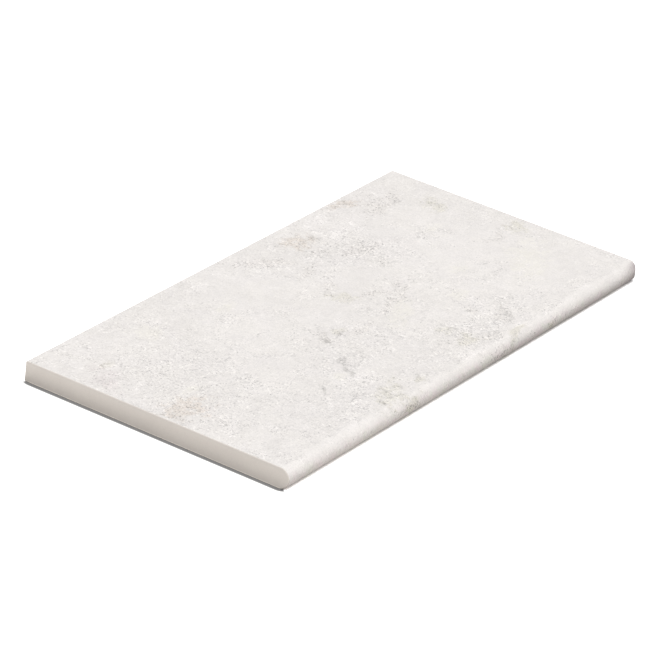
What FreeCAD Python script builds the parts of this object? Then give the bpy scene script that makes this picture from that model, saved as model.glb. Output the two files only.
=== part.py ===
import FreeCAD, Part
import math
import os

# A bullnose tile: one dry-pressed, fired porcelain slab for the edge of a step or a pool.
# Three sides are sawn square. The fourth, a long side, is ground to a full round nose,
# and the nose's right-hand end is eased to a soft tip, for the open end of a row.
# The underside is pressed with shallow cells that key into the bedding mortar.
#
# Millimetres. The origin is at the middle of the underside, +X runs along the tile,
# -Y is out through the nose and +Z is up through the walked-on face.

# The slab
tile_length = 600.0  # between the sawn ends
tile_width = 293.0  # from the tip of the nose to the sawn back edge
tile_thickness = 20.5

# The rounding of the edges of the sawn sides
arris_radius = 0.8  # everywhere but at the eased tip
tip_radius = 7.5  # at the middle of the nose's right-hand end, fading to the arris

# The keying cells in the underside
cell_side = 25.0  # a cell's mouth, which is square
cell_depth = 0.8
cell_draft = 35.0  # degrees that a cell's walls lean, so that the die lets go of the clay
rib_width = 5.0  # between two cells
border_width = 15.0  # plain strip inside the two ends and the back edge
nose_border_width = 10.0  # plain strip behind the start of the nose

nose_radius = tile_thickness / 2
tip_y = -tile_width / 2
back_y = tile_width / 2
nose_start_y = tip_y + nose_radius
left_x = -tile_length / 2
right_x = tile_length / 2


def section_point(y, z):
    """A point of the cross-section, drawn on the left end."""
    return FreeCAD.Vector(left_x, y, z)


def quarter_round(start, end):
    """A quarter of the nose, about its axis."""
    axis = section_point(nose_start_y, nose_radius)
    outward = (start - axis) + (end - axis)
    middle = axis + outward.normalize() * nose_radius
    return Part.Arc(start, middle, end).toShape()


def plain_slab():
    """The cross-section, square at the back and half round at the nose, run along the tile."""
    back_bottom = section_point(back_y, 0)
    back_top = section_point(back_y, tile_thickness)
    nose_top = section_point(nose_start_y, tile_thickness)
    nose_tip = section_point(tip_y, nose_radius)
    nose_bottom = section_point(nose_start_y, 0)
    outline = [
        Part.LineSegment(back_bottom, back_top).toShape(),
        Part.LineSegment(back_top, nose_top).toShape(),
        quarter_round(nose_top, nose_tip),
        quarter_round(nose_tip, nose_bottom),
        Part.LineSegment(nose_bottom, back_bottom).toShape(),
    ]
    return Part.Face(Part.Wire(outline)).extrude(FreeCAD.Vector(tile_length, 0, 0))


def same(a, b):
    return abs(a - b) < 1e-4


def lies_on(edge, axis, value):
    """True if the whole edge is in the plane where that axis has that value."""
    box = edge.BoundBox
    return same(getattr(box, axis + "Min"), value) and same(getattr(box, axis + "Max"), value)


def edge_radius(point):
    """The rounding there: large only at the tip of the nose's right-hand end."""
    if same(point.x, right_x) and same(point.y, tip_y):
        # A thin tile's nose leaves less room for it.
        return min(tip_radius, 0.8 * nose_radius)
    return arris_radius


def with_eased_edges(slab):
    """Rounds the edges of the sawn sides, apart from the two upright corners at the back."""
    rounded = []
    for number, edge in enumerate(slab.Edges, start=1):
        at_end = lies_on(edge, "X", left_x) or lies_on(edge, "X", right_x)
        if at_end != lies_on(edge, "Y", back_y):
            start = edge.valueAt(edge.FirstParameter)
            end = edge.valueAt(edge.LastParameter)
            rounded.append((number, edge_radius(start), edge_radius(end)))
    document = FreeCAD.newDocument("tile")
    blank = document.addObject("Part::Feature", "blank")
    blank.Shape = slab
    eased = document.addObject("Part::Fillet", "eased")
    eased.Base = blank
    eased.Edges = rounded
    document.recompute()
    return eased.Shape


def square_wire(side, z):
    half = side / 2
    corners = [(-half, -half), (half, -half), (half, half), (-half, half), (-half, -half)]
    return Part.makePolygon([FreeCAD.Vector(x, y, z) for x, y in corners])


def cell_form():
    """What the die presses in for one cell, about the Z axis, with its foot below the slab."""
    taper = 2 * cell_depth * math.tan(math.radians(cell_draft))
    foot = square_wire(cell_side + taper, -cell_depth)
    head = square_wire(cell_side - taper, cell_depth)
    return Part.makeLoft([foot, head], True, True)


def cell_centres(start, end):
    """As many cells as fit between start and end, in the middle of that stretch."""
    pitch = cell_side + rib_width
    count = int((end - start + rib_width) / pitch)
    first = (start + end - pitch * (count - 1)) / 2
    return [first + pitch * number for number in range(count)]


def with_keyed_underside(slab):
    form = cell_form()
    cells = []
    for x in cell_centres(left_x + border_width, right_x - border_width):
        for y in cell_centres(nose_start_y + nose_border_width, back_y - border_width):
            cells.append(form.translated(FreeCAD.Vector(x, y, 0)))
    return slab.cut(Part.makeCompound(cells))


os.makedirs("parts", exist_ok=True)
bullnose_tile = with_keyed_underside(with_eased_edges(plain_slab()))
bullnose_tile.exportStep("parts/bullnose_tile.step")
print("solids:", len(bullnose_tile.Solids), " valid:", bullnose_tile.isValid())
print("volume in cm3:", round(bullnose_tile.Volume / 1000, 1))
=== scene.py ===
import math
import bmesh
import bpy
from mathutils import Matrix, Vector


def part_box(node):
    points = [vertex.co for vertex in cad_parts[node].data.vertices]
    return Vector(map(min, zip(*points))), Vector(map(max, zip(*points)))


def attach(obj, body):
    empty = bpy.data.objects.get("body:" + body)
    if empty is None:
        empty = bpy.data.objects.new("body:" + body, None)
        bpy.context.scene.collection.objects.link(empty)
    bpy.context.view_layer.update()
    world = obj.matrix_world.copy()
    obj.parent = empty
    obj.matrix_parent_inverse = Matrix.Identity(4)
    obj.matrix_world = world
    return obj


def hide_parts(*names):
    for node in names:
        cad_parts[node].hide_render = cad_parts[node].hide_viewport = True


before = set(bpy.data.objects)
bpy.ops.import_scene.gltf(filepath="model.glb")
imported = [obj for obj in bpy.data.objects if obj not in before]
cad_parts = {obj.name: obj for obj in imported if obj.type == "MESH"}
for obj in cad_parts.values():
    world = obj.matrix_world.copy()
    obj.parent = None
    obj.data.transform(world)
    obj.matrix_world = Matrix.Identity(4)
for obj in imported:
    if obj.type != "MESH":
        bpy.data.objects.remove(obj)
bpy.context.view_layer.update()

print("frame loaded:", sorted(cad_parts))


# The tile. Sizes and picked places are in millimetres, as in its drawing.

tileSizes = {
    "noseArc": 16,  # faces in each quarter of the nose's circle
    "arris": 0.8,  # rounding of the sawn edges
    "arrisArc": 5,  # faces across that rounding
    "tip": 7.5,  # rounding of the nose's right end, at its tip
    "tipReach": 15.0,  # how far along the nose the mesh gives way to it
    "rows": (55, 3),  # the top is cut into 55 rows, and each of those into 3
    "columns": (24, 15),  # and lengthwise into 24 and then 15
    "cell": 25.0,  # side of the cells pressed into the underside
    "cellRib": 5.0,
    "cellDepth": 0.8,
    "cellDraft": 35.0,  # lean of their walls in degrees
    "cellsAlong": 19,
    "cellsAcross": 8,
    "cellMiddleY": 2.625,  # of the whole field of cells
    "smoothBelow": 32.0,  # edges that turn by fewer degrees than this are shaded smooth
}
samePlace = 0.01  # two places closer than this count as one
straight = 0.1  # an edge that strays less than this runs along an axis
longEnough = 1.0  # an edge has to be longer than this to be cut


def startEdit(piece):
    bpy.ops.object.select_all(action="DESELECT")
    bpy.context.view_layer.objects.active = piece
    piece.select_set(True)
    bpy.ops.object.mode_set(mode="EDIT")


def endEdit():
    bpy.ops.object.mode_set(mode="OBJECT")


def pickFaces(piece, wanted):
    bpy.ops.mesh.select_mode(type="FACE")
    bpy.ops.mesh.select_all(action="DESELECT")
    mesh = bmesh.from_edit_mesh(piece.data)
    for face in mesh.faces:
        if wanted(face.calc_center_median() * 1000, face.normal):
            face.select_set(True)
    bmesh.update_edit_mesh(piece.data)


def pickEdges(piece, wanted):
    bpy.ops.mesh.select_mode(type="EDGE")
    bpy.ops.mesh.select_all(action="DESELECT")
    mesh = bmesh.from_edit_mesh(piece.data)
    for edge in mesh.edges:
        if wanted(edge.verts[0].co * 1000, edge.verts[1].co * 1000):
            edge.select_set(True)
    bmesh.update_edit_mesh(piece.data)


def applyModifiers(piece):
    bpy.ops.object.select_all(action="DESELECT")
    bpy.context.view_layer.objects.active = piece
    piece.select_set(True)
    for modifier in list(piece.modifiers):
        bpy.ops.object.modifier_apply(modifier=modifier.name)


def startSlab(low, high):
    size = high - low
    bpy.ops.object.select_all(action="DESELECT")
    bpy.ops.mesh.primitive_cube_add(size=1, location=(low + high) / 2, scale=size)
    slab = bpy.context.object
    slab.name = "BullnoseTile"
    bpy.ops.object.transform_apply(location=True, rotation=True, scale=True)
    return slab


def roundNose(slab, sizes, low, high):
    radius = (high.z - low.z) / 2
    front = low.y * 1000

    def alongFront(a, b):
        return abs(a.y - front) + abs(b.y - front) + abs(a.z - b.z) < samePlace

    startEdit(slab)
    pickEdges(slab, alongFront)
    bpy.ops.mesh.bevel(
        offset=radius, segments=sizes["noseArc"], profile=0.5, affect="EDGES", clamp_overlap=False
    )
    bpy.ops.mesh.select_all(action="SELECT")
    bpy.ops.mesh.remove_doubles(threshold=samePlace / 1000)
    bpy.ops.mesh.normals_make_consistent(inside=False)
    endEdit()


def easeSawnEdges(slab, sizes, low, high):
    # both rims and the back edges, but not the two upright corners
    left, right, back = low.x * 1000, high.x * 1000, high.y * 1000

    def sawn(a, b):
        onLeft = abs(a.x - left) + abs(b.x - left) < samePlace
        onRight = abs(a.x - right) + abs(b.x - right) < samePlace
        onBack = abs(a.y - back) + abs(b.y - back) < samePlace
        return (onLeft or onRight) != onBack

    startEdit(slab)
    pickEdges(slab, sawn)
    bpy.ops.mesh.bevel(
        offset=sizes["arris"] / 1000, segments=sizes["arrisArc"], profile=0.5, affect="EDGES"
    )
    endEdit()


def flatUnder(centre, normal):
    return normal.z < -0.999 and centre.z < samePlace


def middles(count, pitch, middle=0.0):
    return [middle + pitch * (i - (count - 1) / 2) for i in range(count)]


def pressCells(slab, sizes):
    pitch = sizes["cell"] + sizes["cellRib"]
    half = sizes["cell"] / 2
    columns = middles(sizes["cellsAlong"], pitch)
    rows = middles(sizes["cellsAcross"], pitch, sizes["cellMiddleY"])

    def inCell(centre, normal):
        alongCell = min(abs(centre.x - middle) for middle in columns) < half / 2
        acrossCell = min(abs(centre.y - middle) for middle in rows) < half / 2
        return flatUnder(centre, normal) and alongCell and acrossCell

    # the underside is cut along the cells' edges first, and then the cells are sunk
    startEdit(slab)
    for middle in columns:
        for side in (-half, half):
            pickFaces(slab, flatUnder)
            bpy.ops.mesh.bisect(plane_co=((middle + side) / 1000, 0, 0), plane_no=(1, 0, 0))
    for middle in rows:
        for side in (-half, half):
            pickFaces(slab, flatUnder)
            bpy.ops.mesh.bisect(plane_co=(0, (middle + side) / 1000, 0), plane_no=(0, 1, 0))
    pickFaces(slab, inCell)
    lean = sizes["cellDepth"] * math.tan(math.radians(sizes["cellDraft"]))
    bpy.ops.mesh.inset(
        thickness=lean / 1000, depth=-sizes["cellDepth"] / 1000, use_individual=True
    )
    endEdit()


def cutFine(slab, sizes, low, high):
    top = high.z * 1000
    noseStart = low.y * 1000 + top / 2
    underArris = top - sizes["arris"] - 2 * samePlace

    def acrossTop(a, b):
        onTop = min(a.y, b.y) > noseStart - straight and min(a.z, b.z) > underArris
        return abs(a.x - b.x) + abs(a.z - b.z) < straight and abs(a.y - b.y) > longEnough and onTop

    def alongTile(a, b):
        shown = min(a.z, b.z) > underArris or a.y < noseStart - samePlace
        return abs(a.y - b.y) + abs(a.z - b.z) < straight and abs(a.x - b.x) > longEnough and shown

    # rows first, while the top is one long face
    startEdit(slab)
    for wanted, cuts in ((acrossTop, sizes["rows"]), (alongTile, sizes["columns"])):
        for parts in cuts:
            pickEdges(slab, wanted)
            bpy.ops.mesh.subdivide(number_cuts=parts - 1)
    endEdit()


def easeTip(slab, sizes, low, high):
    # the rounding at the nose's right end swells from the arris to the tip and back, which
    # a bevel evens out, so here each corner of the mesh slides round the swollen rim
    radius = (high.z - low.z) / 2
    axisY, axisZ = low.y + radius, radius
    arris = sizes["arris"] / 1000
    swell = sizes["tip"] / 1000 - arris
    quarter = math.pi / 2
    reach = sizes["tipReach"] / 1000
    for corner in slab.data.vertices:
        place = corner.co
        inward = high.x - place.x
        outY, outZ = axisY - place.y, place.z - axisZ
        if inward > reach or outY < samePlace / 1000:
            continue
        fromAxis = math.hypot(outY, outZ)
        share = 1 - abs(math.atan2(outZ, outY)) / quarter
        rim = arris + swell * share * share * (3 - 2 * share)
        # how far it is round the old rim, from the edge of the flat end
        if inward >= arris:
            along = quarter * arris + inward - arris
        else:
            along = arris * math.atan2(fromAxis - radius + arris, arris - inward)
        longer = (quarter * rim + reach - rim) / (quarter * arris + reach - arris)
        along *= longer
        if along < quarter * rim:
            turn = along / rim
            inward = rim * (1 - math.cos(turn))
            newFromAxis = radius - rim * (1 - math.sin(turn))
        else:
            inward = rim + along - quarter * rim
            newFromAxis = radius
        corner.co.x = high.x - inward
        corner.co.y = axisY - outY * newFromAxis / fromAxis
        corner.co.z = axisZ + outZ * newFromAxis / fromAxis
    slab.data.update()


low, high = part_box("bullnose_tile")
tile = startSlab(low, high)
roundNose(tile, tileSizes, low, high)
easeSawnEdges(tile, tileSizes, low, high)
print("slab:", len(tile.data.polygons), "faces")
pressCells(tile, tileSizes)
print("cells pressed:", len(tile.data.polygons), "faces")
cutFine(tile, tileSizes, low, high)
easeTip(tile, tileSizes, low, high)
print("cut fine:", len(tile.data.polygons), "faces")


# The relief of the face, pressed into the top and the nose.

reliefSizes = {
    # depth and width of the hollows and of the pits, and how many finer ones each holds
    "swell": (0.16, 14.0, 1),
    "pits": (0.12, 4.0, 0),
    "contrast": 1.6,
    "edgeFade": 3.0,  # calm strip along the sawn edges
    "noseShare": 0.3,  # the nose is ground smoother than the top
    "footFade": 4.0,  # below this height it grows smoother still
    "footEnd": 0.5,  # and below this one it has no relief
}


def markRelief(slab, sizes, low, high):
    top = high.z * 1000 - samePlace
    noseStart = (low.y + high.z / 2) * 1000
    end, back = high.x * 1000 - tileSizes["arris"], high.y * 1000 - tileSizes["arris"]
    group = slab.vertex_groups.new(name="relief")
    shares = {}
    for corner in slab.data.vertices:
        place = corner.co * 1000
        fromEdge = min(end - abs(place.x), back - place.y) / sizes["edgeFade"]
        onSide = place.z < top and place.y > noseStart + samePlace
        if fromEdge <= 0 or onSide or place.z < sizes["footEnd"]:
            continue
        share = min(1, fromEdge)
        if place.y < noseStart:
            share *= sizes["noseShare"] * min(1, place.z / sizes["footFade"])
        shares.setdefault(round(share, 2), []).append(corner.index)
    for share, corners in shares.items():
        group.add(corners, share, "REPLACE")


def addHollows(slab, name, sizes):
    depth, width, steps = sizes[name]
    cloud = bpy.data.textures.new(name, "CLOUDS")
    cloud.noise_basis = "ORIGINAL_PERLIN"
    cloud.noise_scale = width / 1000
    cloud.noise_depth = steps
    cloud.contrast = sizes["contrast"]
    hollows = slab.modifiers.new(name, "DISPLACE")
    hollows.texture = cloud
    hollows.texture_coords = "LOCAL"
    hollows.vertex_group = "relief"
    hollows.direction = "NORMAL"
    hollows.mid_level = 1.0
    hollows.strength = depth / 1000


markRelief(tile, reliefSizes, low, high)
addHollows(tile, "swell", reliefSizes)
addHollows(tile, "pits", reliefSizes)
applyModifiers(tile)
bpy.ops.object.shade_smooth_by_angle(angle=math.radians(tileSizes["smoothBelow"]))
print("relief pressed")

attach(tile, "root")
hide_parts("bullnose_tile")


# What the finishes are made with. Each takes the node tree first.


def put(tree, kind, inputs=None, **settings):
    node = tree.nodes.new("ShaderNode" + kind)
    for name, value in settings.items():
        setattr(node, name, value)
    for name, value in (inputs or {}).items():
        if isinstance(value, bpy.types.NodeSocket):
            tree.links.new(value, node.inputs[name])
        else:
            node.inputs[name].default_value = value
    return node


def sums(tree, operation, *values):
    return put(tree, "Math", dict(enumerate(values)), operation=operation).outputs[0]


def vectors(tree, operation, *values):
    return put(tree, "VectorMath", dict(enumerate(values)), operation=operation).outputs


def noise(tree, place, width, detail, rough, twist=0.0):
    # width is the size in mm of the largest blotches
    values = {"Vector": place, "Scale": 1000 / width, "Detail": detail}
    values.update({"Roughness": rough, "Distortion": twist})
    return put(tree, "TexNoise", values).outputs["Fac"]


def ramp(tree, value, low, high, toLow=0.0, toHigh=1.0):
    values = {"Value": value, "From Min": low, "From Max": high}
    values.update({"To Min": toLow, "To Max": toHigh})
    return put(tree, "MapRange", values, interpolation_type="SMOOTHSTEP").outputs["Result"]


def spread(tree, value, turn, amount):
    # half the amount darker where the noise is low, and half of it paler where it is high
    return ramp(tree, value, *turn, amount / 2, -amount / 2)


def between(tree, place, start, end, toStart=0.0, toEnd=1.0):
    # start and end are in mm along one axis
    return ramp(tree, place, start / 1000, end / 1000, toStart, toEnd)


def crest(tree, value, width):
    # 1 where the noise crosses its middle, and 0 from the width away from there
    away = sums(tree, "ABSOLUTE", sums(tree, "SUBTRACT", value, 0.5))
    return ramp(tree, away, 0.0, width, 1.0, 0.0)


def chosen(tree, share, first, second):
    return put(tree, "Mix", {0: share, 2: first, 3: second}, data_type="FLOAT").outputs[0]


def mixed(tree, share, first, second, way="MIX"):
    node = put(tree, "Mix", {0: share}, data_type="RGBA", blend_type=way)
    for socket, colour in ((6, first), (7, second)):
        if isinstance(colour, bpy.types.NodeSocket):
            tree.links.new(colour, node.inputs[socket])
        else:
            node.inputs[socket].default_value = (*colour, 1)
    return node.outputs[2]


def filtered(tree, share, colour, tone):
    return mixed(tree, share, colour, tone, "MULTIPLY")


def scaled(tree, colour, scale):
    return put(tree, "VectorMath", {0: colour, "Scale": scale}, operation="SCALE").outputs[0]


def darken(tree, colour, amount):
    # amount 0 leaves the colour, 0.1 takes a tenth off, and less than 0 lightens it
    return scaled(tree, colour, sums(tree, "SUBTRACT", 1.0, amount))


def addBump(tree, shader, height, strength, depth):
    values = {"Height": height, "Strength": strength, "Distance": depth / 1000}
    bump = put(tree, "Bump", values).outputs["Normal"]
    tree.links.new(bump, shader.inputs["Normal"])


def startFinish(name):
    finish = bpy.data.materials.new(name)
    finish.use_nodes = True
    place = put(finish.node_tree, "TexCoord").outputs["Object"]
    return finish, finish.node_tree, finish.node_tree.nodes["Principled BSDF"], place


# The printed face, on the top and the nose.

faceLook = {
    "stone": (0.864, 0.829, 0.801),
    "rough": (0.50, 0.66),
    "tone": 0.016,  # how far the tone drifts over some centimetres
    "cloud": 0.055,  # over some millimetres
    "layer": 0.018,  # from one pale layer to the next
    "dust": 0.11,  # and from speck to speck
    "warmth": 0.009,  # how far the blue drifts over a few centimetres
    "pepper": 0.435,  # how dark the dark grains are
    "salt": 0.42,  # and how white the white ones
    "palest": 0.17,  # but no grain lightens the stone by more than this
    "line": 0.21,  # how dark the fine lines are, where it is grainy
    "calm": 0.22,  # how grainy it is away from clusters and marks
    "cluster": 0.62,  # how much grainier in the clusters
    "grainRange": (0.06, 1.1),  # and how grainy at least and at most
    "skin": (0.35, 0.3),  # strength of the finest texture, and its depth in mm
    # width in mm, detail, roughness and twist of each noise
    "noises": {
        "ragged": (12, 6, 0.78, 0.4),  # outlines of the marks
        "patchy": (7, 4, 0.7, 0.4),  # and how solid they are
        "broad": (70, 6, 0.66, 0.8),  # drift of the tone and of the roughness
        "layers": (60, 5, 0.65, 1.0),  # and which parts have clusters
        "clouds": (15, 4, 0.66, 0.5),
        "clusters": (55, 6, 0.66, 0.8),
        "lines": (22, 4, 0.55, 1.0),
        "warmth": (34, 5, 0.66, 0.8),
        "pepper": (1.8, 2, 0.6, 0.0),
        "salt": (2.4, 2, 0.6, 0.3),
        "dust": (1.5, 2, 0.7, 0.0),
        "skin": (1.4, 2, 0.6, 0.0),
    },
    # between which values of its noise each of these goes from its one end to the other
    "turns": {
        "ragged": (0.25, 0.75),
        "patchy": (0.36, 0.56),
        "clusterPlaces": (0.38, 0.60),
        "tone": (0.34, 0.66),
        "cloud": (0.30, 0.70),
        "layer": (0.485, 0.515),
        "dust": (0.3, 0.7),
        "warmth": (0.36, 0.64),
        "pepper": (0.50, 0.70),
        "salt": (0.52, 0.72),
        "rough": (0.3, 0.7),
        "blotch": (0.47, 0.60),
    },
    "clusterWidth": 0.06,  # how close to its middle the noise makes clusters
    "lineWidth": 0.022,  # and lines
    "noseFrom": (-135.0, -138.5),  # where across the tile the nose's own look comes in
    "noseLift": 0.045,  # how much paler than the top the nose is
    "noseCalm": 0.55,  # and how much calmer
    "frontHeights": (19.5, 11.0),  # between these heights its front's own look comes in
    "footGrain": 1.5,  # how much grainier the front is
    # filter and noise of each of the front's blotches
    "blotches": [
        ((1.006, 0.968, 0.99), (12, 3, 0.6, 0.6)),
        ((0.972, 1.0, 0.962), (16, 3, 0.6, 0.6)),
    ],
    "tip": (0.60, 0.575, 0.59),  # filter of painted shade on the nose's eased right end, with a little of the print's mauve in it
    "tipShadeAlong": (272.0, 303.0),  # where along the tile that comes in
    "tipAcross": (-136.5, -144.0),  # and where across it
    # each kind of mark: what it filters the stone with, how much grainier it is, how ragged
    "kinds": {
        "russet": ((0.925, 0.888, 0.848), 0.8, 0.85),
        "mauvePrintAndTipShade": ((0.965, 0.945, 0.955), 0.2, 0.85),
        "olive": ((0.923, 0.921, 0.877), 0.6, 0.85),
        "dark": ((0.955, 0.95, 0.944), 0.78, 0.9),
        "vein": ((0.78, 0.78, 0.776), 0.45, 0.5),
        "chalk": ((1.07, 1.07, 1.075), 0.2, 0.9),
        "cream": ((1.016, 1.018, 0.993), -0.2, 0.7),
        "calm": ((1.0, 1.0, 1.0), -0.75, 0.6),
        "grains": ((0.997, 0.997, 0.997), 0.40, 0.85),
    },
    "markEdge": (0.55, 1.35),  # a mark fades between these shares of its half length and width
    "markFloor": 0.25,  # how strong it is where it is least solid
    "markStray": 22.0,  # how many mm a noise bends its place
    "strayScale": 45.0,  # scale and detail of that noise
    "strayDetail": 3.0,
    # x, y, half length, half width and turn of each mark, in mm and degrees
    "marks": {
        "russet": [(-270, -12, 27, 16, -20), (92, 115, 17, 14, 0), (190, 136, 18, 8, -20)],
        # the second mauve mark, on the nose's right end, is partly print and partly painted shade
        "mauvePrintAndTipShade": [(-272, 78, 26, 12, 55), (286, -147, 20, 5, 0)],
        "olive": [
            (262, 72, 15, 10, 45), (18, 17, 11, 9, -50), (-112, -127, 27, 13, 15),
            (35, -117, 14, 9, -20), (280, -19, 16, 11, 20), (-42, -23, 10, 4, -20),
            (36, -90, 8, 5, 0), (-70, -130, 8, 4, 0), (-250, 92, 10, 5, 20),
            (-101, -144, 14, 3, 0), (139, -146, 5, 3, 0), (83, -141, 16, 4, 0),
        ],
        "dark": [
            (225, 108, 32, 10, 10), (93, 84, 14, 4, -50), (128, 62, 28, 8, -10),
            (25, 114, 28, 8, -35), (45, 72, 20, 5, 15), (32, 39, 22, 6, 30),
            (110, 32, 8, 3, 35), (50, -1, 14, 6, -30), (82, -8, 18, 5, 35),
            (-62, -18, 14, 7, 45), (-18, -33, 22, 5, 0), (42, -25, 24, 5, 15),
            (247, -14, 20, 6, 15), (84, -88, 9, 6, -40), (98, -110, 22, 5, 30),
            (60, -130, 26, 5, -25), (-115, -141, 28, 4, 0), (55, -143, 32, 4, 0),
            (143, -145, 8, 4, 0), (103, -141, 12, 3, 20),
        ],
        "vein": [
            (-90, -57, 9, 3, 42), (-99, -68, 9, 3, 54), (-105, -78, 8, 3, 71),
            (-68, -25, 8, 3, 70), (-47, -28, 8, 2, 5), (-148, -80, 9, 2, 35),
            (105, -116, 9, 4, 20), (84, -88, 9, 3, -40),
        ],
        "chalk": [
            (140, 98, 30, 11, 20), (-60, 127, 13, 8, 20), (15, -128, 20, 8, 20),
            (-102, -93, 17, 12, 0), (145, 132, 20, 6, 10),
        ],
        "cream": [
            (35, -43, 28, 10, 25), (-120, -76, 10, 7, 0), (225, -65, 42, 20, 30),
            (110, -56, 12, 10, 0), (-80, 82, 11, 6, 0), (-175, 100, 18, 9, 35),
            (215, 42, 13, 7, 0), (155, -28, 10, 6, 0), (-235, 8, 10, 6, 0),
        ],
        "calm": [
            (-35, 85, 40, 40, 0), (200, -10, 62, 34, 0), (240, -82, 62, 38, 0),
            (62, 28, 34, 17, 10), (-15, 15, 32, 20, 0), (200, 70, 40, 20, 0),
        ],
        "grains": [
            (-245, -25, 55, 50, 0), (-150, -105, 60, 30, 0), (60, -110, 90, 30, 0),
            (-215, 50, 70, 50, 0), (-60, -50, 60, 30, 0), (120, 70, 60, 40, 0),
        ],
    },
}


def markPlace(tree, place, look):
    # the place, bent by noise so that the marks stray from their ellipses
    values = {"Vector": place, "Scale": look["strayScale"], "Detail": look["strayDetail"]}
    bend = put(tree, "TexNoise", values).outputs["Color"]
    bend = vectors(tree, "SUBTRACT", bend, (0.5, 0.5, 0.5))[0]
    most = look["markStray"] / 1000
    return vectors(tree, "MULTIPLY_ADD", bend, (most, most, 0), place)[0]


def markMask(tree, place, outline, mark, edge):
    x, y, long, wide, turn = mark
    # the mapping brings the mark to a circle of radius 1 about the origin
    values = {
        "Vector": place,
        "Location": (x / 1000, y / 1000, 0),
        "Rotation": (0, 0, math.radians(turn)),
        "Scale": (long / 1000, wide / 1000, 1000),
    }
    centred = put(tree, "Mapping", values, vector_type="TEXTURE").outputs[0]
    reach = vectors(tree, "LENGTH", centred)["Value"]
    return ramp(tree, sums(tree, "ADD", reach, outline), *edge, 1.0, 0.0)


def addMarks(tree, place, noises, look, colour, grainy):
    # each kind of mark filters the colour and changes how grainy it is
    ragged = ramp(tree, noises["ragged"], *look["turns"]["ragged"], -1.0, 1.0)
    patchy = ramp(tree, noises["patchy"], *look["turns"]["patchy"], look["markFloor"], 1.0)
    for kind, (tone, graininess, raggedness) in look["kinds"].items():
        outline = sums(tree, "MULTIPLY", ragged, raggedness)
        marks = look["marks"][kind]
        mask = markMask(tree, place, outline, marks[0], look["markEdge"])
        for mark in marks[1:]:
            further = markMask(tree, place, outline, mark, look["markEdge"])
            mask = sums(tree, "MAXIMUM", mask, further)
        mask = sums(tree, "MULTIPLY", mask, patchy)
        colour = filtered(tree, mask, colour, tone)
        grainy = sums(tree, "ADD", grainy, sums(tree, "MULTIPLY", mask, graininess))
    least, most = look["grainRange"]
    return colour, put(tree, "Clamp", {"Value": grainy, "Min": least, "Max": most}).outputs[0]


def changeNose(tree, place, onNose, look, colour, grainy):
    # its eased end is darkened with painted shade, a little mauve, and its front livelier than its
    # upper edge
    spot = put(tree, "SeparateXYZ", {"Vector": place}).outputs
    alongTipShade = between(tree, spot["X"], *look["tipShadeAlong"])
    tipPaintedShade = sums(tree, "MULTIPLY", alongTipShade, between(tree, spot["Y"], *look["tipAcross"]))
    # painted shade: the nose's right end is darkened where it turns away from the light
    colour = filtered(tree, tipPaintedShade, colour, look["tip"])
    downFront = between(tree, spot["Z"], *look["frontHeights"])
    for tone, values in look["blotches"]:
        blotch = ramp(tree, noise(tree, place, *values), *look["turns"]["blotch"])
        colour = filtered(tree, sums(tree, "MULTIPLY", downFront, blotch), colour, tone)
    livelier = ramp(tree, downFront, 0.0, 1.0, 1.0, 1 + look["footGrain"])
    calmer = ramp(tree, onNose, 0.0, 1.0, 1.0, 1 - look["noseCalm"])
    grainy = sums(tree, "MULTIPLY", sums(tree, "MULTIPLY", grainy, livelier), calmer)
    return colour, grainy


def makeFace(look):
    finish, tree, shader, place = startFinish("stoneLookFace")
    turns = look["turns"]
    noises = {name: noise(tree, place, *values) for name, values in look["noises"].items()}
    bentPlace = markPlace(tree, place, look)

    clusters = crest(tree, noises["clusters"], look["clusterWidth"])
    clusterPlaces = ramp(tree, noises["layers"], *turns["clusterPlaces"])
    grainy = sums(tree, "MULTIPLY", clusters, clusterPlaces)
    grainy = sums(tree, "MULTIPLY", grainy, look["cluster"])
    grainy = sums(tree, "ADD", grainy, look["calm"])
    stone = put(tree, "RGB").outputs[0]
    stone.default_value = (*look["stone"], 1)
    colour, grainy = addMarks(tree, bentPlace, noises, look, stone, grainy)
    across = put(tree, "SeparateXYZ", {"Vector": bentPlace}).outputs["Y"]
    onNose = between(tree, across, *look["noseFrom"])
    colour, grainy = changeNose(tree, place, onNose, look, colour, grainy)

    pepper = ramp(tree, noises["pepper"], *turns["pepper"], 0.0, look["pepper"])
    salt = ramp(tree, noises["salt"], *turns["salt"], 0.0, look["salt"])
    grain = sums(tree, "MULTIPLY", sums(tree, "SUBTRACT", pepper, salt), grainy)
    grain = sums(tree, "MAXIMUM", grain, -look["palest"])
    drift = spread(tree, noises["broad"], turns["tone"], look["tone"])
    cloud = spread(tree, noises["clouds"], turns["cloud"], look["cloud"])
    layer = spread(tree, noises["layers"], turns["layer"], look["layer"])
    dust = spread(tree, noises["dust"], turns["dust"], -look["dust"])
    lift = sums(tree, "MULTIPLY", onNose, -look["noseLift"])
    lines = crest(tree, noises["lines"], look["lineWidth"])
    lines = sums(tree, "MULTIPLY", sums(tree, "MULTIPLY", lines, grainy), look["line"])
    warm = ramp(tree, noises["warmth"], *turns["warmth"])
    cooler, warmer = ((1, 1, 1 + side * look["warmth"]) for side in (0.5, -0.5))
    colour = vectors(tree, "MULTIPLY", colour, mixed(tree, warm, cooler, warmer))[0]
    for amount in (grain, drift, cloud, layer, dust, lift, lines):
        colour = darken(tree, colour, amount)
    tree.links.new(colour, shader.inputs["Base Color"])

    smoothest, roughest = look["rough"]
    roughness = ramp(tree, noises["broad"], *turns["rough"], roughest, smoothest)
    tree.links.new(roughness, shader.inputs["Roughness"])
    height = sums(tree, "ADD", noises["pepper"], noises["skin"])
    addBump(tree, shader, height, *look["skin"])
    return finish


# The plain body, on the sawn sides, the arrises and the underside.

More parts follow.
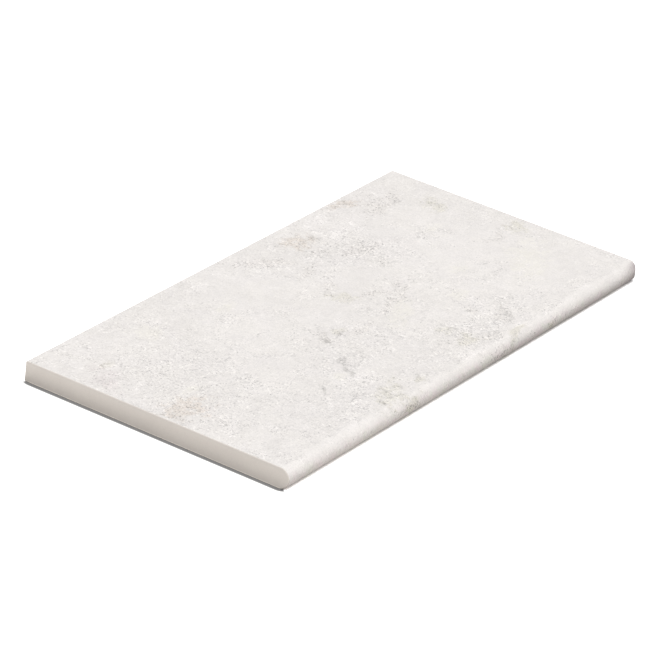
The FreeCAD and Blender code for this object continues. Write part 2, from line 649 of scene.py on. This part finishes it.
bodyLook = {
    "body": (0.752, 0.703, 0.652),
    "shade": (0.729, 0.679, 0.631),  # where it drifts darker
    "grit": 0.04,  # how far the tone varies from speck to speck
    "rim": 0.06,  # how much darker it is close under the face
    "rimHeights": (17.5, 19.8),  # between these heights in mm
    "foot": -0.28,  # and how much at the foot, where painted light makes it paler against the shade on the bottom arris
    "footHeights": (0.2, 1.7),
    "rough": 0.82,
    "skin": (0.25, 0.2),  # strength of the finest texture, and its depth in mm
    # width in mm, detail and roughness of each noise
    "noises": {"drift": (40, 4, 0.6), "grit": (1.6, 3, 0.7), "skin": (1.2, 3, 0.7)},
    "turns": {"drift": (0.35, 0.65), "grit": (0.3, 0.7)},
}


def makeBody(look):
    finish, tree, shader, place = startFinish("porcelainBody")
    turns = look["turns"]
    noises = {name: noise(tree, place, *values) for name, values in look["noises"].items()}
    drift = ramp(tree, noises["drift"], *turns["drift"])
    colour = mixed(tree, drift, look["body"], look["shade"])
    grit = spread(tree, noises["grit"], turns["grit"], -look["grit"])
    height = put(tree, "SeparateXYZ", {"Vector": place}).outputs["Z"]
    rim = between(tree, height, *look["rimHeights"], 0.0, look["rim"])
    # painted light: the foot is made paler, against the shade under the bottom arris
    foot = between(tree, height, *look["footHeights"], look["foot"], 0.0)
    for amount in (grit, rim, foot):
        colour = darken(tree, colour, amount)
    tree.links.new(colour, shader.inputs["Base Color"])
    shader.inputs["Roughness"].default_value = look["rough"]
    addBump(tree, shader, noises["skin"], *look["skin"])
    return finish


printSizes = {
    "lap": 0.1,  # how far the print laps onto the arris
    "noseFoot": 0.6,  # at what height it ends under the nose
    "deepest": 0.35,  # the deepest hollow of the top that is still printed
    "endTurn": 0.98,  # a normal that points further along the tile than this is a sawn end's
}


def dress(slab, face, body, sizes, low, high):
    # the print covers the top and the nose, down to its foot, but no sawn edge
    slab.data.materials.clear()
    slab.data.materials.append(face)
    slab.data.materials.append(body)
    noseStart = (low.y + high.z / 2) * 1000
    margin = tileSizes["arris"] - sizes["lap"]
    for polygon in slab.data.polygons:
        centre = polygon.center * 1000
        atEnd = abs(polygon.normal.x) >= sizes["endTurn"]
        onNose = centre.y < noseStart and centre.z > sizes["noseFoot"] and not atEnd
        inset = min(centre.x - low.x * 1000, high.y * 1000 - centre.y)
        onTop = centre.z > high.z * 1000 - sizes["deepest"] and high.x * 1000 - centre.x > margin
        printed = (onTop or onNose) and inset > margin
        polygon.material_index = 0 if printed else 1


dress(tile, makeFace(faceLook), makeBody(bodyLook), printSizes, low, high)
print("finishes on")


# The floor, the light and the camera.

stageLook = {
    "floor": 12.0,  # metres across
    # how pale the floor is, close to the tile and away from it, and where, in mm from the tile,
    # the one gives way to the other, which paints shadow and light round the tile: first as it
    # lights the tile
    "paintedShadowBeforeSawnEnd": (0.24, 0.82, 5.0, 22.0),
    # painted light on the floor close under the sawn end's arris, which lifts that arris out of
    # its shade
    "underArris": (0.82, 0.0, 0.3, 1.6),
    # painted shadow beyond the far end, which darkens the nose's right end
    "paintedShadowBeyondFarEnd": (0.04, 0.60, 15.0, 120.0),
    # painted shadow before the nose, with painted light and shade along it: paler towards its left
    # end, darker towards its right
    "paintedShadowBeforeNose": (0.48, 0.82, -2.0, 83.0),
    "paintedToneAlongNose": (1.26, 0.83),  # times this before the nose's left end and its right end
    "noseSpan": (-280.0, 240.0),  # which lie at these mm from the tile's middle
    "bounce": (1.0, 0.962, 0.925),  # what the floor sends back is a little warm
    # then as the eye sees it, where a painted contact shadow lies before the sawn end
    "paintedShadowSeenAtSawnEnd": (0.21, 2.0, 2.9, 7.4),
    "seenElsewhere": 2.0,
    "noseFoot": 3.5,  # where under the nose the shade starts, in mm from the nose's front
    "corner": 7.0,  # rounding of the shade's corners
    "cornerBlend": (-4.0, 4.0),  # over how many mm one side's shade gives way there to the next
    "seenBlend": (-0.5, 1.5),  # and the same as the eye sees it
    "sky": 0.30,  # strength of the sky as a light
    "sun": (-0.285, -0.13, 0.69),  # towards the sun, as long as it is strong
    "sunAway": 4.0,  # its lamp stands at this many times that vector
    "sunWidth": 40.0,  # in degrees
}
cameraSizes = {
    "place": (-3.1416, -1.91986, 1.82066),
    "turn": (63.5721, -5.7865, -55.437),  # in degrees
    "lens": 240.89,
    "sensor": 36,
    "farthest": 100,  # how far it sees, in metres
}


def makeFloorPaint(look, low, high):
    paint = bpy.data.materials.new("paleFloor")
    paint.use_nodes = True
    tree = paint.node_tree
    tree.nodes.clear()
    place = put(tree, "TexCoord").outputs["Object"]
    # distance from what touches the floor, which is a box with rounded corners
    corner = look["corner"] / 1000
    first = Vector((low.x + corner, low.y + look["noseFoot"] / 1000 + corner, 0))
    last = Vector((high.x - corner, high.y - corner, 0))
    fromMiddle = vectors(tree, "SUBTRACT", place, (first + last) / 2)[0]
    outside = vectors(tree, "ABSOLUTE", fromMiddle)[0]
    outside = vectors(tree, "SUBTRACT", outside, (last - first) / 2)[0]
    outside = vectors(tree, "MAXIMUM", outside, (0, 0, 0))[0]
    reach = vectors(tree, "LENGTH", outside)["Value"]
    away = sums(tree, "MULTIPLY", sums(tree, "SUBTRACT", reach, corner), 1000.0)

    def shade(near, far, start, end):
        return ramp(tree, away, start, end, near, far)

    along = put(tree, "SeparateXYZ", {"Vector": fromMiddle}).outputs["X"]
    beyond = put(tree, "SeparateXYZ", {"Vector": outside}).outputs
    sideways = sums(tree, "SUBTRACT", beyond["X"], beyond["Y"])
    atFarEnd = sums(tree, "GREATER_THAN", along, 0.0)
    atEnds = between(tree, sideways, *look["cornerBlend"])
    # painted shadow before the sawn end, with painted light close under its arris, as they light
    # the tile
    sawn = sums(tree, "MAXIMUM", shade(*look["paintedShadowBeforeSawnEnd"]), shade(*look["underArris"]))
    ends = chosen(tree, atFarEnd, sawn, shade(*look["paintedShadowBeyondFarEnd"]))
    paintedToneAlongNose = between(tree, along, *look["noseSpan"], *look["paintedToneAlongNose"])
    nose = sums(tree, "MULTIPLY", shade(*look["paintedShadowBeforeNose"]), paintedToneAlongNose)
    bounced = scaled(tree, look["bounce"], chosen(tree, atEnds, nose, ends))

    # the painted contact shadow before the sawn end, as the eye sees it
    atNearEnd = sums(tree, "SUBTRACT", 1.0, atFarEnd)
    atSawnEnd = sums(tree, "MULTIPLY", between(tree, sideways, *look["seenBlend"]), atNearEnd)
    seen = chosen(tree, atSawnEnd, look["seenElsewhere"], shade(*look["paintedShadowSeenAtSawnEnd"]))
    eye = put(tree, "LightPath").outputs["Is Camera Ray"]
    diffuse = put(tree, "BsdfDiffuse", {"Color": mixed(tree, eye, bounced, seen)}).outputs[0]
    put(tree, "OutputMaterial", {"Surface": diffuse})
    return paint


bpy.ops.object.select_all(action="DESELECT")
bpy.ops.mesh.primitive_plane_add(size=stageLook["floor"], location=(0, 0, 0))
floor = bpy.context.object
floor.name = "Floor"
floor.data.materials.append(makeFloorPaint(stageLook, low, high))

# the world is white to look at and softer as a light
world = bpy.data.worlds.new("softWhite")
world.use_nodes = True
bpy.context.scene.world = world
sky = world.node_tree
paths = put(sky, "LightPath").outputs
lookedAt = sums(sky, "MAXIMUM", paths["Is Camera Ray"], paths["Is Glossy Ray"])
lookedAt = sums(sky, "MAXIMUM", lookedAt, paths["Is Transmission Ray"])
strength = chosen(sky, lookedAt, stageLook["sky"], 1.0)
sky.nodes["Background"].inputs["Color"].default_value = (1, 1, 1, 1)
sky.links.new(strength, sky.nodes["Background"].inputs["Strength"])

towards = Vector(stageLook["sun"])
bpy.ops.object.light_add(type="SUN", location=towards * stageLook["sunAway"])
sun = bpy.context.object
sun.name = "KeyLight"
sun.data.energy = towards.length * math.pi
sun.data.angle = math.radians(stageLook["sunWidth"])
sun.rotation_euler = towards.to_track_quat("Z", "Y").to_euler()

bpy.ops.object.camera_add(
    location=cameraSizes["place"],
    rotation=[math.radians(turn) for turn in cameraSizes["turn"]],
)
camera = bpy.context.object
camera.data.lens = cameraSizes["lens"]
camera.data.sensor_width = cameraSizes["sensor"]
camera.data.clip_end = cameraSizes["farthest"]
bpy.context.scene.camera = camera
bpy.context.scene.view_settings.view_transform = "Standard"
print("floor, light and camera set")
